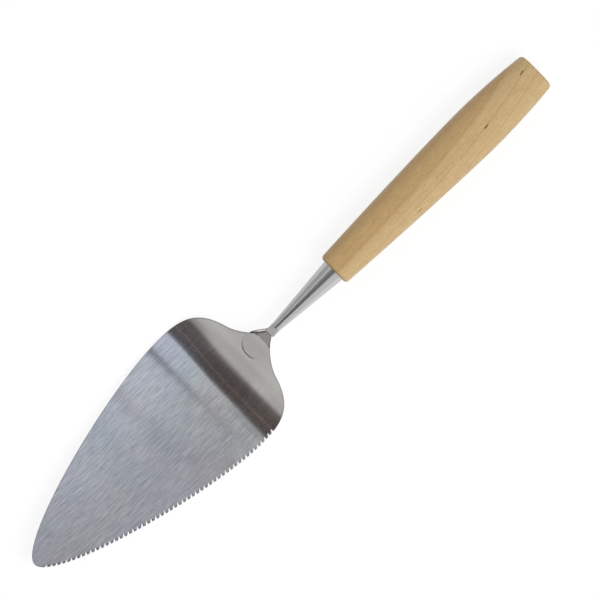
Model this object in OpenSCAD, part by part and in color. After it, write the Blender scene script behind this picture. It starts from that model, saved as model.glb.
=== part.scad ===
// Cake server: a toothed steel blade, spot welded to a rolled steel shank, whose narrower tang
// is glued into a beech handle.
// It lies as it rests on a table: the heel of the blade and the belly of the handle touch z = 0.
// The blade points to -X, the handle to +X, and the teeth are on the -Y side. Sizes are in mm.

/* [Blade] */
// Greatest width of the blade, over the points of the teeth
blade_w = 58.6; // [46:0.2:72]
// Length of the blade's flat, from its point back to the bend at the heel
flat_len = 99.8; // [80:0.2:130]
// Thickness of the blade's sheet
blade_t = 1; // [0.8:0.1:1.4]
// Radius of the bend at the heel, on its upper side
heel_r = 28; // [20:1:34]
// Rise of the flat towards its point when the server lies at rest, in degrees
flat_tilt = 6; // [3:0.5:9]
// Slope of the shoulder behind the heel, in degrees
shoulder_tilt = 21; // [18:0.5:26]
// Length of the level tail of the blade, which lies on the neck of the shank
tail_len = 2.8; // [2:0.2:5]
// Width of the blade across the end of its tail
tail_w = 2.9; // [2:0.1:4]

/* [Teeth] */
// Distance from one tooth to the next along the edge
tooth_pitch = 2.07; // [1.8:0.01:3]
// Depth of a full notch
tooth_depth = 1.5; // [0.8:0.1:2]
// Width of a notch at its mouth
notch_w = 1.05; // [0.7:0.05:1.4]
// Plain edge between the blade's point and the first notch
plain_edge = 4.2; // [2:0.2:12]
// Length of the toothed stretch of the edge
toothed_len = 108; // [60:1:120]

/* [Shank] */
// Thickness of the shank's sheet
shank_t = 1; // [0.8:0.1:1.3]
// Diameter of the closed neck behind the blade
neck_d = 4.2; // [3.6:0.1:5]
// Length of the closed neck
neck_len = 4.5; // [3.5:0.5:8]
// Length of the closed ramp from the blade's tail up to the top of the neck
nose_len = 3.2; // [2.4:0.1:3.4]
// Length of the rolled cone, from the neck to the handle
cone_len = 31.2; // [20:0.2:45]
// Diameter of the cone where it enters the handle
socket_d = 10.1; // [8:0.1:11]
// Length of the shank's full diameter inside the handle
socket_len = 6; // [4:0.5:10]
// Diameter of the tang
tang_d = 6.4; // [5:0.1:7]
// Length of the tang behind the socket
tang_len = 36; // [20:1:50]
// Width of the open seam where it starts, at the neck
seam_front = 0.5; // [0.3:0.1:0.8]
// Width of the open seam from the handle on
seam_rear = 1.5; // [0.8:0.1:2]
// Radius of the crease between the shoulder and the neck, on its lower side
crease_r = 1.2; // [1:0.1:4]
// Diameter of the round weld tab
tab_d = 12; // [10:0.2:14]
// Length of the weld tab, from the neck to its front
tab_len = 12.4; // [11.5:0.1:13.5]
// Height by which the tab is pressed up into the blade
coin_depth = 0.15; // [0.05:0.05:0.3]
// Diameter of a spot weld
weld_d = 3; // [2:0.1:4]
// Thickness of a spot weld
weld_t = 0.7; // [0.4:0.1:1]

/* [Handle] */
// Length of the handle
handle_len = 113.2; // [90:0.2:140]
// Greatest width of the handle
handle_w = 20.6; // [18:0.2:26]
// Greatest thickness of the handle
handle_t = 17.5; // [15.5:0.1:20]
// Width of the handle at its butt
butt_w = 16.8; // [14:0.2:18]
// Thickness of the handle at its butt
butt_t = 14.8; // [13:0.2:15.4]
// Wood beside the bore at the handle's front
socket_wall = 1.8; // [1.5:0.1:2.4]
// Rounding of the handle's two ends
end_r = 1.5; // [0.8:0.1:2]
// Gap between the shank and the bore, which glue fills
glue_gap = 0.25; // [0.15:0.05:0.4]
// Depth of the bore beyond the tang
bore_spare = 2; // [1:0.5:4]

/* [Hidden] */
$fn = 96;

// One overrun serves every cut, and one air gap parts the blade's tail from the neck
overrun = 1;
tail_gap = 0.2;

// Heights: the handle's axis lies half its thickness above the table, and the neck follows it
axis_z = handle_t / 2;
neck_floor_z = axis_z - neck_d / 2;
crease_top_r = crease_r + shank_t + blade_t;
crease_z = neck_floor_z - coin_depth - crease_r;
heel_under_r = heel_r + blade_t;
rise = crease_z + crease_r + shank_t;
bends_rise = (heel_under_r + crease_r + shank_t) * (1 - cos(shoulder_tilt));
shoulder_len = (rise - bends_rise) / sin(shoulder_tilt);

// Places along X, counted from the blade's point
heel_x = flat_len * cos(flat_tilt) + heel_r * sin(flat_tilt);
shoulder_x = heel_x + heel_r * sin(shoulder_tilt);
crease_x = shoulder_x + shoulder_len * cos(shoulder_tilt) + crease_top_r * sin(shoulder_tilt);
tail_x = crease_x + tail_len;
neck_x = tail_x + tail_gap;
cone_x = neck_x + neck_len;
handle_x = cone_x + cone_len;
socket_x = handle_x + socket_len;
taper_x = socket_x + (socket_d - tang_d) / 2;
tang_x = taper_x + tang_len;
total_len = handle_x + handle_len;
tall = handle_t + flat_len * sin(flat_tilt);

// Blade outline: one curve from the point to the greatest width, then an S to the tail.
// The shares are of the run that each curve covers and of half the greatest width.
wide_share = 0.98;
wide_x = flat_len * cos(flat_tilt) * wide_share;
point_swell_share = 0.37;
front_swell_share = 0.705;
corner_shares = [[0.351, 1], [0.583, 0.938], [0.698, 0.48]];
waist_shares = [[0.732, 0.347], [0.855, 0.148]];
curve_steps = 24;

function bezier(p, u) =
    (1 - u) ^ 3 * p[0] + 3 * (1 - u) ^ 2 * u * p[1] + 3 * (1 - u) * u ^ 2 * p[2] + u ^ 3 * p[3];
function curve(p) = [for (i = [1:curve_steps]) bezier(p, i / curve_steps)];
function rear_point(s) = [wide_x + s[0] * (tail_x - wide_x), s[1] * blade_w / 2];

wide_point = [wide_x, blade_w / 2];
waist_point = rear_point(corner_shares[2]);
tail_point = [tail_x, tail_w / 2];
front_side = curve([
    [0, 0],
    [0, point_swell_share * blade_w / 2],
    [front_swell_share * wide_x, blade_w / 2],
    wide_point
]);
corner_side = curve([
    wide_point,
    rear_point(corner_shares[0]),
    rear_point(corner_shares[1]),
    waist_point
]);
waist_side = curve([
    waist_point,
    rear_point(waist_shares[0]),
    rear_point(waist_shares[1]),
    tail_point
]);
side = concat([[0, 0]], front_side, corner_side, waist_side);

// The edge is walked by its length, which lookup turns into a point on the side
function length_to(i) = i == 0 ? 0 : length_to(i - 1) + norm(side[i] - side[i - 1]);
side_lengths = [for (i = [0:len(side) - 1]) length_to(i)];
x_table = [for (i = [0:len(side) - 1]) [side_lengths[i], side[i][0]]];
y_table = [for (i = [0:len(side) - 1]) [side_lengths[i], side[i][1]]];
function edge_point(s) = [lookup(s, x_table), lookup(s, y_table)];

// Teeth: the side of a notch that is nearer the handle is square to the edge.
// The first notches are shallow, and reach their full depth after a few teeth.
tooth_count = floor(toothed_len / tooth_pitch);
first_depth_share = 0.65;
ramp_teeth = 10;
function depth_at(i) = tooth_depth * min(1, first_depth_share + (1 - first_depth_share) * i / ramp_teeth);
function notch_root(s, depth) =
    let (mouth = edge_point(s + notch_w), along = mouth - edge_point(s), dir = along / norm(along))
    mouth + depth * [dir[1], -dir[0]];
function notch(i) =
    let (s = plain_edge + i * tooth_pitch)
    [edge_point(s), notch_root(s, depth_at(i)), edge_point(s + notch_w)];
toothed_side = concat(
    [for (i = [1:len(side) - 1]) if (side_lengths[i] < plain_edge) side[i]],
    [for (i = [0:tooth_count - 1]) each notch(i)],
    [for (i = [1:len(side) - 1]) if (side_lengths[i] > plain_edge + toothed_len) side[i]]
);

// Path of the bent sheet in side view, at a depth below the blade's upper face
heel_centre = [heel_x, heel_under_r];
crease_centre = [crease_x, crease_z];
heel_steps = 14;
crease_steps = 5;
function heel_point(a, depth) = heel_centre + (heel_r + depth) * [sin(a), -cos(a)];
function crease_point(a, depth) = crease_centre + (crease_top_r - depth) * [-sin(a), cos(a)];
function sheet_path(depth) = concat(
    [heel_point(-flat_tilt, depth) + (flat_len + overrun) * [-cos(flat_tilt), sin(flat_tilt)]],
    [for (i = [0:heel_steps]) heel_point(-flat_tilt + (flat_tilt + shoulder_tilt) * i / heel_steps, depth)],
    [for (i = [crease_steps:-1:0]) crease_point(shoulder_tilt * i / crease_steps, depth)],
    [crease_point(0, depth) + [tail_len + overrun, 0]]
);

// A band of that sheet: its upper face lies at depth, and t is its thickness
module sheet_side(depth, t) {
    under = sheet_path(depth + t);
    polygon(concat(sheet_path(depth), [for (i = [len(under) - 1:-1:0]) under[i]]));
}

module sheet(depth, t, lift) {
    translate([0, blade_w, lift])
        rotate([90, 0, 0])
            linear_extrude(2 * blade_w)
                sheet_side(depth, t);
}

module blade_outline() {
    polygon(concat(
        [for (i = [len(side) - 1:-1:0]) side[i]],
        [for (p = toothed_side) [p[0], -p[1]]]
    ));
}

module sheet_in_outline(lift) {
    intersection() {
        linear_extrude(tall)
            blade_outline();
        sheet(0, blade_t, lift);
    }
}

// Weld tab: a disc that narrows to the neck, sheared back on the toothed side
tab_x = neck_x - tab_len + tab_d / 2;
neck_corner = [neck_x + shank_t, neck_d / 2];
tab_to_corner = neck_corner - [tab_x, 0];
tangent_a = atan2(tab_to_corner[1], tab_to_corner[0]) + acos(tab_d / 2 / norm(tab_to_corner));
tangent_point = [tab_x, 0] + tab_d / 2 * [cos(tangent_a), sin(tangent_a)];
shear_a = 36;
shear_reach = 2 * tab_d;

module tab_outline() {
    difference() {
        union() {
            translate([tab_x, 0])
                circle(d = tab_d);
            polygon([
                [tab_x, 0],
                tangent_point,
                neck_corner,
                [neck_corner[0], -neck_corner[1]],
                [tangent_point[0], -tangent_point[1]]
            ]);
        }
        polygon([
            [tail_x, -tail_w / 2],
            [tail_x, -tail_w / 2 - shear_reach],
            [tail_x - shear_reach * cos(shear_a), -tail_w / 2 - shear_reach * sin(shear_a)]
        ]);
    }
}

// Spot welds: two discs across the face where the tab meets the blade
weld_x = (tab_x - tab_d / 2 + crease_x - crease_top_r * sin(shoulder_tilt)) / 2;
weld_z = heel_point(shoulder_tilt, blade_t)[1] + coin_depth
    + (weld_x - heel_point(shoulder_tilt, blade_t)[0]) * tan(shoulder_tilt);
weld_share = 0.25;

module weld_discs() {
    for (side_sign = [-1, 1])
        translate([weld_x, side_sign * weld_share * tab_d, weld_z])
            rotate([0, -shoulder_tilt, 0])
                cylinder(h = weld_t, d = weld_d, center = true);
}

// Shank tube, from the end of the neck on: radius at each place along X, less the inset
function tube_side(inset) = [
    [neck_d / 2 - inset, cone_x],
    [socket_d / 2 - inset, handle_x],
    [socket_d / 2 - inset, socket_x],
    [tang_d / 2 - inset, taper_x],
    [tang_d / 2 - inset, tang_x]
];

// The rolled sheet closes over the tab in a ramp, and its hollow and its open seam start behind it
hollow_x = neck_x + nose_len;
neck_top_z = axis_z + neck_d / 2;
tail_top_z = crease_z + crease_top_r + coin_depth;
ramp = (neck_top_z - tail_top_z) / nose_len;

module around_axis(points) {
    translate([0, 0, axis_z])
        rotate([0, 90, 0])
            rotate_extrude()
                polygon(points);
}

module tube() {
    difference() {
        around_axis(concat(
            [[0, neck_x], [neck_d / 2, neck_x]],
            tube_side(0),
            [[0, tang_x]]
        ));
        around_axis(concat(
            [[0, hollow_x], [neck_d / 2 - shank_t, hollow_x]],
            tube_side(shank_t),
            [[tang_d / 2 - shank_t, tang_x + overrun], [0, tang_x + overrun]]
        ));
        seam();
        above_ramp();
    }
}

module above_ramp() {
    translate([0, neck_d, 0])
        rotate([90, 0, 0])
            linear_extrude(2 * neck_d)
                polygon([
                    [neck_x - overrun, tail_top_z - overrun * ramp],
                    [hollow_x + overrun, neck_top_z + overrun * ramp],
                    [neck_x - overrun, neck_top_z + overrun * ramp]
                ]);
}

// The open seam runs along the top of the tube and widens up to the handle
module seam() {
    translate([0, 0, axis_z])
        linear_extrude(socket_d)
            polygon([
                [hollow_x, -seam_front / 2],
                [handle_x, -seam_rear / 2],
                [tang_x + overrun, -seam_rear / 2],
                [tang_x + overrun, seam_rear / 2],
                [handle_x, seam_rear / 2],
                [hollow_x, seam_front / 2]
            ]);
}

module weld_tab() {
    intersection() {
        linear_extrude(tall)
            tab_outline();
        sheet(blade_t, shank_t, coin_depth);
    }
}

// Bore: wide as far as the shank narrows, then narrow for the tang
module bore(from_x) {
    translate([from_x, 0, axis_z])
        rotate([0, 90, 0])
            cylinder(h = taper_x + glue_gap - from_x, d = socket_d + 2 * glue_gap);
    translate([taper_x, 0, axis_z])
        rotate([0, 90, 0])
            cylinder(h = tang_len + bore_spare, d = tang_d + 2 * glue_gap);
}

// Handle: full width and thickness at its belly, eased down to the front and to the butt
belly_share = 0.7;
fore_ease = 1.4;
aft_ease = 2;
front_w = socket_d + 2 * (glue_gap + socket_wall);
section_power = 2.7;
section_steps = 40;
body_steps = 16;
slice_share = 0.0001;

function eased(u, front, belly, butt) =
    u < belly_share
        ? belly - (belly - front) * (1 - u / belly_share) ^ fore_ease
        : belly - (belly - butt) * ((u - belly_share) / (1 - belly_share)) ^ aft_ease;
function squircle(c) = sign(c) * abs(c) ^ (2 / section_power);

// A station is a place along the handle and how far its section is drawn in there
round_steps = 3;
front_stations = [for (i = [0:round_steps]) let (a = 90 * i / round_steps) end_r * [1 - cos(a), 1 - sin(a)]];
body_stations = [for (i = [1:body_steps - 1]) [handle_len * i / body_steps, 0]];
belly_station = [[handle_len * belly_share, 0]];
butt_stations = [for (s = front_stations) [handle_len - s[0], s[1]]];

module handle_section(station) {
    half_w = eased(station[0] / handle_len, front_w, handle_w, butt_w) / 2 - station[1];
    half_t = eased(station[0] / handle_len, front_w, handle_t, butt_t) / 2 - station[1];
    polygon([
        for (i = [0:section_steps - 1])
            let (a = 360 * i / section_steps)
            [half_t * squircle(cos(a)), half_w * squircle(sin(a))]
    ]);
}

module handle_body() {
    slice = handle_len * slice_share;
    hull()
        for (s = concat(front_stations, body_stations, belly_station, butt_stations))
            translate([min(s[0], handle_len - slice), 0, 0])
                rotate([0, 90, 0])
                    linear_extrude(slice)
                        handle_section(s);
}

module place() {
    translate([-total_len / 2, 0, 0])
        children();
}

module blade() {
    color("silver")
        place()
            difference() {
                union() {
                    difference() {
                        sheet_in_outline(0);
                        weld_tab();
                    }
                    intersection() {
                        sheet_in_outline(coin_depth);
                        linear_extrude(tall)
                            tab_outline();
                    }
                }
                weld_discs();
            }
}

module shank() {
    color("lightgray")
        place()
            difference() {
                union() {
                    weld_tab();
                    tube();
                }
                weld_discs();
            }
}

module spot_welds() {
    color("dimgray")
        place()
            weld_discs();
}

module handle_glue() {
    color("khaki")
        place()
            difference() {
                bore(handle_x + glue_gap);
                tube();
            }
}

module handle() {
    color("burlywood")
        place()
            difference() {
                translate([handle_x, 0, axis_z])
                    handle_body();
                bore(handle_x - overrun);
            }
}

blade();
shank();
spot_welds();
handle_glue();
handle();
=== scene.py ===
"""Cake server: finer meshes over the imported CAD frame, materials, floor, light and camera.

Lengths in the mesh code are in mm, with x counted from the blade's point, as in the part's
source. row() turns them into metres in the row frame.
"""

import math

import bmesh
import bpy
import numpy as np
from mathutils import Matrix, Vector
from mathutils.geometry import delaunay_2d_cdt


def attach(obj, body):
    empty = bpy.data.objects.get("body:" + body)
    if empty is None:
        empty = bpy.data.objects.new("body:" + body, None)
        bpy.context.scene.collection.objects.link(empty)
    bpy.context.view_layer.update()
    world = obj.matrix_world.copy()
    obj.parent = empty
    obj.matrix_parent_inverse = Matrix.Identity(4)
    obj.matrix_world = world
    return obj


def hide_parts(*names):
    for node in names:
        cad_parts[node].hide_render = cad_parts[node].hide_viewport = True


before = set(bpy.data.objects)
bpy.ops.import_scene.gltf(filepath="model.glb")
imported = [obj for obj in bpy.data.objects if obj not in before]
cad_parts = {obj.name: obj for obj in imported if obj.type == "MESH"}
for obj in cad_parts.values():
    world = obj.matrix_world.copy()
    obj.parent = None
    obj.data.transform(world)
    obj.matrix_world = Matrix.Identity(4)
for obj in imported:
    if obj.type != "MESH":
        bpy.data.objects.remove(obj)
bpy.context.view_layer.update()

# ---------------- sizes, from the part's source

BLADE_W, FLAT_LEN, BLADE_T, HEEL_R = 58.6, 99.8, 1.0, 28.0
FLAT_A, SHOULDER_A = math.radians(6), math.radians(21)
TAIL_LEN, TAIL_W, TAIL_GAP = 2.8, 2.9, 0.2
PITCH, DEPTH, NOTCH_W, PLAIN, TOOTHED = 2.07, 1.5, 1.05, 4.2, 108.0
SHANK_T, NECK_D, NECK_LEN, NOSE_LEN, CONE_LEN = 1.0, 4.2, 4.5, 3.2, 31.2
SOCKET_D, SOCKET_LEN, TANG_D, TANG_LEN = 10.1, 6.0, 6.4, 36.0
SEAM_FRONT, SEAM_REAR, CREASE_R = 0.5, 1.5, 1.2
TAB_D, TAB_LEN, COIN = 12.0, 12.4, 0.15
HANDLE_LEN, HANDLE_W, HANDLE_T, BUTT_W, BUTT_T = 113.2, 20.6, 17.5, 16.8, 14.8
WALL, END_R, GLUE_GAP, BORE_SPARE = 1.8, 1.5, 0.25, 2.0

AXIS_Z = HANDLE_T / 2
NECK_FLOOR = AXIS_Z - NECK_D / 2
CREASE_TOP_R = CREASE_R + SHANK_T + BLADE_T
CREASE_Z = NECK_FLOOR - COIN - CREASE_R
HEEL_Z = HEEL_R + BLADE_T
RISE = CREASE_Z + CREASE_R + SHANK_T
BENDS = (HEEL_Z + CREASE_R + SHANK_T) * (1 - math.cos(SHOULDER_A))
SHOULDER_LEN = (RISE - BENDS) / math.sin(SHOULDER_A)
HEEL_X = FLAT_LEN * math.cos(FLAT_A) + HEEL_R * math.sin(FLAT_A)
SHOULDER_X = HEEL_X + HEEL_R * math.sin(SHOULDER_A)
CREASE_X = SHOULDER_X + SHOULDER_LEN * math.cos(SHOULDER_A) + CREASE_TOP_R * math.sin(SHOULDER_A)
TAIL_X = CREASE_X + TAIL_LEN
NECK_X = TAIL_X + TAIL_GAP
HOLLOW_X = NECK_X + NOSE_LEN
CONE_X = NECK_X + NECK_LEN
HANDLE_X = CONE_X + CONE_LEN
SOCKET_X = HANDLE_X + SOCKET_LEN
TAPER_X = SOCKET_X + (SOCKET_D - TANG_D) / 2
TANG_X = TAPER_X + TANG_LEN
TOTAL = HANDLE_X + HANDLE_LEN


def row(points):
    """mm from the blade's point -> metres in the row frame."""
    p = np.array(points, float)
    p[:, 0] -= TOTAL / 2
    return p / 1000


def smooth(lo, hi, v):
    """0 below lo, 1 above hi, eased between."""
    u = np.clip((np.asarray(v, float) - lo) / (hi - lo), 0, 1)
    return u * u * (3 - 2 * u)


def link(name, data):
    obj = bpy.data.objects.new(name, data)
    bpy.context.scene.collection.objects.link(obj)
    return obj


def add_mesh(name, points, faces, sharp, brush=None, ground_and_shade=None):
    """A piece from points in mm and faces, shaded smooth up to an angle.

    brush gives a face's corners their place along and across the brushing, in mm, and
    ground_and_shade gives points their share of painted shade on rougher steel, or below 0 of
    painted glint.
    """
    mesh = bpy.data.meshes.new(name)
    mesh.from_pydata([tuple(p) for p in row(points)], [], [tuple(map(int, f)) for f in faces])
    form = bmesh.new()
    form.from_mesh(mesh)
    bmesh.ops.recalc_face_normals(form, faces=form.faces)
    form.to_mesh(mesh)
    form.free()
    if brush:
        layer = mesh.uv_layers.new(name="brush")
        for face in mesh.polygons:
            places = brush([points[i] for i in face.vertices])
            for loop, (u, v) in zip(face.loop_indices, places):
                layer.data[loop].uv = (u / 1000, v / 1000)
    if ground_and_shade:
        layer = mesh.attributes.new("ground_and_shade", "FLOAT", "POINT")
        for i, share in ground_and_shade.items():
            layer.data[i].value = share
    mesh.validate()
    mesh.shade_smooth()
    mesh.set_sharp_from_angle(angle=math.radians(sharp))
    return link(name, mesh)


class Builder:
    """Collects points and faces of one piece, and merges points that coincide."""

    # Digits of a mm in which points that are one agree
    DIGITS = 4

    def __init__(self):
        self.points, self.faces, self.known = [], [], {}

    def point(self, p):
        key = tuple(round(float(c), self.DIGITS) for c in p)
        if key not in self.known:
            self.known[key] = len(self.points)
            self.points.append([float(c) for c in p])
        return self.known[key]

    def face(self, corners):
        ids = []
        for p in corners:
            i = self.point(p)
            if i not in ids:
                ids.append(i)
        if len(ids) > 2:
            self.faces.append(ids)

    def faces_of(self, points, faces, flip=False):
        """Takes faces given by their points' numbers."""
        for f in faces:
            self.face([points[i] for i in (reversed(f) if flip else f)])

    def band(self, upper, under):
        """Faces between two rings with as many points each."""
        for i in range(len(upper)):
            j = (i + 1) % len(upper)
            self.face([upper[j], upper[i], under[i], under[j]])


# ---------------- the blade's outline


def bezier(p, steps):
    """Points along a cubic curve, without its first."""
    p = np.array(p, float)
    u = (np.arange(1, steps + 1) / steps)[:, None]
    v = 1 - u
    return v**3 * p[0] + 3 * v**2 * u * p[1] + 3 * v * u**2 * p[2] + u**3 * p[3]


# The source's control points, in shares of the half width and of the lengths before and behind
# the widest place
HALF = BLADE_W / 2
WIDE_SHARE, POINT_SHARE, BOW_SHARE = 0.98, 0.37, 0.705
CORNER_SHARES = ((0.351, 1), (0.583, 0.938), (0.698, 0.48))
WAIST_SHARES = ((0.698, 0.48), (0.732, 0.347), (0.855, 0.148))
WIDE_X = FLAT_LEN * math.cos(FLAT_A) * WIDE_SHARE
WIDEST = [WIDE_X, HALF]


def rear(shares):
    return [[WIDE_X + x * (TAIL_X - WIDE_X), y * HALF] for x, y in shares]


SIDE = np.vstack(
    [
        [[0, 0]],
        bezier([[0, 0], [0, POINT_SHARE * HALF], [BOW_SHARE * WIDE_X, HALF], WIDEST], 60),
        bezier([WIDEST, *rear(CORNER_SHARES)], 40),
        bezier([*rear(WAIST_SHARES), [TAIL_X, TAIL_W / 2]], 30),
    ]
)
RUN = np.concatenate([[0], np.cumsum(np.linalg.norm(np.diff(SIDE, axis=0), axis=1))])


def edge_at(s):
    """The point of the plain side's outline at a length along it."""
    return np.array([np.interp(s, RUN, SIDE[:, 0]), np.interp(s, RUN, SIDE[:, 1])])


def half_width(x):
    """Half the blade's width at x, over the points of the teeth."""
    return np.interp(x, SIDE[:, 0], SIDE[:, 1])


# ---------------- heights of the bent sheets

# The upper face's crisp crease: place, reach before it, the tail's fall behind it, and softness
CRISP_X, CRISP_REACH, TAIL_FALL, CRISP = 126.9, 1.2, 0.04, 0.006


def sheet_z(x, depth):
    """Height of the bent sheet at x, at a depth below the blade's upper face."""
    r, q = HEEL_R + depth, CREASE_TOP_R - depth
    a, b = HEEL_X - r * math.sin(FLAT_A), HEEL_X + r * math.sin(SHOULDER_A)
    c = CREASE_X - q * math.sin(SHOULDER_A)
    za = HEEL_Z - r * math.cos(FLAT_A)
    zb = HEEL_Z - r * math.cos(SHOULDER_A)
    arc = HEEL_Z - np.sqrt(np.maximum(r * r - (x - HEEL_X) ** 2, 0))
    top = CREASE_Z + np.sqrt(np.maximum(q * q - np.minimum(x - CREASE_X, 0) ** 2, 0))
    z = np.where(x < a, za + (a - x) * math.tan(FLAT_A), arc)
    z = np.where(x > b, zb + (x - b) * math.tan(SHOULDER_A), z)
    return np.where(x > c, top, z)


# The tab is a disc whose flanks run straight to the neck, cut slantwise on the toothed side
TAB_R = TAB_D / 2
TAB_X = NECK_X - TAB_LEN + TAB_R
CORNER = np.array([NECK_X + SHANK_T, NECK_D / 2])
TO_CORNER = CORNER - [TAB_X, 0]
TANGENT_A = math.atan2(TO_CORNER[1], TO_CORNER[0]) + math.acos(TAB_R / np.linalg.norm(TO_CORNER))
TANGENT_N = np.array([math.cos(TANGENT_A), math.sin(TANGENT_A)])
TANGENT = np.array([TAB_X + TAB_R * TANGENT_N[0], TAB_R * TANGENT_N[1]])
SHEAR = math.radians(36)


def tab_inside(x, y):
    """Distance inside the weld tab's outline, negative outside."""
    disc = TAB_R - np.hypot(x - TAB_X, y)
    flank = TAB_R - ((x - TAB_X) * TANGENT_N[0] + np.abs(y) * TANGENT_N[1])
    wedge = np.minimum(flank, x - TANGENT[0])
    body = np.where(x > TANGENT[0], np.maximum(disc, wedge), disc)
    cut = (y + TAIL_W / 2) * math.cos(SHEAR) - (x - TAIL_X) * math.sin(SHEAR)
    return np.where(y < -TAIL_W / 2, np.minimum(body, cut), body)


# The imprint is squarer than the tab and nearer the plain edge: power, place across, and height
# and half-width of its rim, which fades across it and behind the tab's centre
MARK_P, MARK_Y, MARK_RISE, MARK_RIM = 2.3, 0.35, 0.05, 0.3
MARK_ACROSS, MARK_BEHIND = (-3.6, -2.0), (3.2, 4.6)


def mark_inside(x, y):
    """Distance inside the imprint's outline, negative outside."""
    dx, dy = np.abs(x - TAB_X), np.abs(y - MARK_Y)
    return TAB_R - (dx**MARK_P + dy**MARK_P) ** (1 / MARK_P)


def tab_mark(x, y):
    """Height of the imprint's low rim."""
    rim = MARK_RISE * np.exp(-((mark_inside(x, y) / MARK_RIM) ** 2))
    near, far = MARK_BEHIND
    return rim * smooth(*MARK_ACROSS, y) * smooth(TAB_X + far, TAB_X + near, x)


# The press's waves before the heel: slope, place and half-width, share in the middle and its
# gain for each mm across
PRESS_WAVES = ((1.05, 92.0, 2.3), (-0.85, 97.0, 1.9), (-0.75, 82.0, 4.0))
PRESS_SHARE, PRESS_SLANT, PRESS_ZONE = 0.031, 0.0007, (66, 76, 100, 106)
# A long sag: height, place of a crest, length, and share in the middle and gain as above
SAG, SAG_X, SAG_LEN, SAG_ZONE = 0.05, 20, 61, (2, 25, 70, 90)
SAG_SHARE, SAG_SLANT = 0.8, 0.004
# The curl up to the point, by the square of the distance from where it starts
CURL, CURL_X = 0.00011, 60
# The bend's soft end: slope in the middle, what the plain side adds, place and half-width
SOFT, SOFT_SIDE, SOFT_ACROSS = 0.012, 0.026, (4, 24)
SOFT_X, SOFT_W, SOFT_ZONE = 113.3, 2.6, (103, 108, 116, 123)
# How far the bend's front lies back on the plain side and ahead on the toothed side, and its
# rear back on the plain side and ahead all over
FRONT_BACK, FRONT_AHEAD, REAR_BACK, REAR_AHEAD = 1.72, 0.45, 0.75, 0.3
FRONT_ACROSS, AHEAD_ACROSS, REAR_ACROSS = (-4, 26), (4, 26), (2, 26)
FRONT_TO_REAR, SHIFT_ZONE = (102, 110), (60, 92, 113, 121)


def zone(x, places):
    """1 in the middle of four places: eased up between the first two, and down between the rest."""
    return smooth(*places[:2], x) * (1 - smooth(*places[2:], x))


def wave(x, y):
    """The press's waves, a long sag, a slight curl up to the point, and the bend's soft end."""
    press = sum(a * w * np.tanh((x - c) / w) for a, c, w in PRESS_WAVES) * zone(x, PRESS_ZONE)
    sag = SAG * np.cos(2 * math.pi * (x - SAG_X) / SAG_LEN) * zone(x, SAG_ZONE)
    curl = CURL * np.maximum(CURL_X - x, 0) ** 2
    soft = (SOFT + SOFT_SIDE * smooth(*SOFT_ACROSS, y)) * SOFT_W
    late = soft * (1 + np.tanh((x - SOFT_X) / SOFT_W)) * zone(x, SOFT_ZONE)
    return (PRESS_SHARE + PRESS_SLANT * y) * press + sag * (SAG_SHARE + SAG_SLANT * y) + curl - late


def heel_shift(x, y):
    """How much further back the bend lies than in the solids, at its front and its rear."""
    front = FRONT_BACK * smooth(*FRONT_ACROSS, y) - FRONT_AHEAD * smooth(*AHEAD_ACROSS, -y)
    back = REAR_BACK * smooth(*REAR_ACROSS, y) - REAR_AHEAD
    share = smooth(*FRONT_TO_REAR, x)
    return (front * (1 - share) + back * share) * zone(x, SHIFT_ZONE)


def upper_face(x):
    """Height of the blade's upper face at x, with its crisp crease."""
    # The shoulder's straight line, carried on by 1 mm to the crease
    crease_top = float(sheet_z(CRISP_X - 1, 0)) + math.tan(SHOULDER_A)
    shoulder = crease_top + (x - CRISP_X) * math.tan(SHOULDER_A)
    tail = crease_top - (x - CRISP_X) * TAIL_FALL
    folded = -CRISP * np.logaddexp(-shoulder / CRISP, -tail / CRISP)
    return np.where(x > CRISP_X - CRISP_REACH, folded, sheet_z(x, 0))


def blade_top(x, y):
    return upper_face(x - heel_shift(x, y)) + wave(x, y) + tab_mark(x, y)


def blade_under(x, y):
    """The under face, coined up over the tab, and nowhere below the table."""
    coined = COIN * smooth(-0.12, -0.02, tab_inside(x, y))
    return np.maximum(0, sheet_z(x - heel_shift(x, y), BLADE_T) + wave(x, y) + coined)


# ---------------- meshes between outline and grid

# Border points closer than this are one. The triangulation keeps what lies inside the border.
SAME, KEEP_INSIDE, CDT_EPS = 1e-4, 1, 1e-6


def fill(border, inner, height):
    """Triangles over a closed border (CCW, in plan) and loose points in it, lifted by height(x, y).

    Border points keep their exact places, so that what meets there is closed.
    """
    border = [tuple(p) for p in border]
    clean = [border[0]]
    for p in border[1:]:
        if math.dist(p, clean[-1]) > SAME:
            clean.append(p)
    if math.dist(clean[0], clean[-1]) < SAME:
        clean.pop()
    places = clean + [tuple(p) for p in inner]
    loop = list(range(len(clean)))
    flat = [Vector(p) for p in places]
    out, _, faces, origins, *_ = delaunay_2d_cdt(flat, [], [loop], KEEP_INSIDE, CDT_EPS)
    xy = np.array([places[o[0]] if o else tuple(p) for p, o in zip(out, origins)], float)
    return lifted(xy, height), [list(f) for f in faces]


def lifted(xy, height):
    return np.column_stack([xy, height(xy[:, 0], xy[:, 1])])


def clear_of(border, points, gap):
    """The points at least gap away from a closed border."""
    a = np.array(border, float)
    b = np.roll(a, -1, axis=0)
    keep = []
    ab = b - a
    size = np.maximum((ab**2).sum(1), 1e-12)
    for p in points:
        t = np.clip(((p - a) * ab).sum(1) / size, 0, 1)
        d = np.hypot(*(p - (a + t[:, None] * ab)).T).min()
        if d > gap:
            keep.append(p)
    return keep


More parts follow.
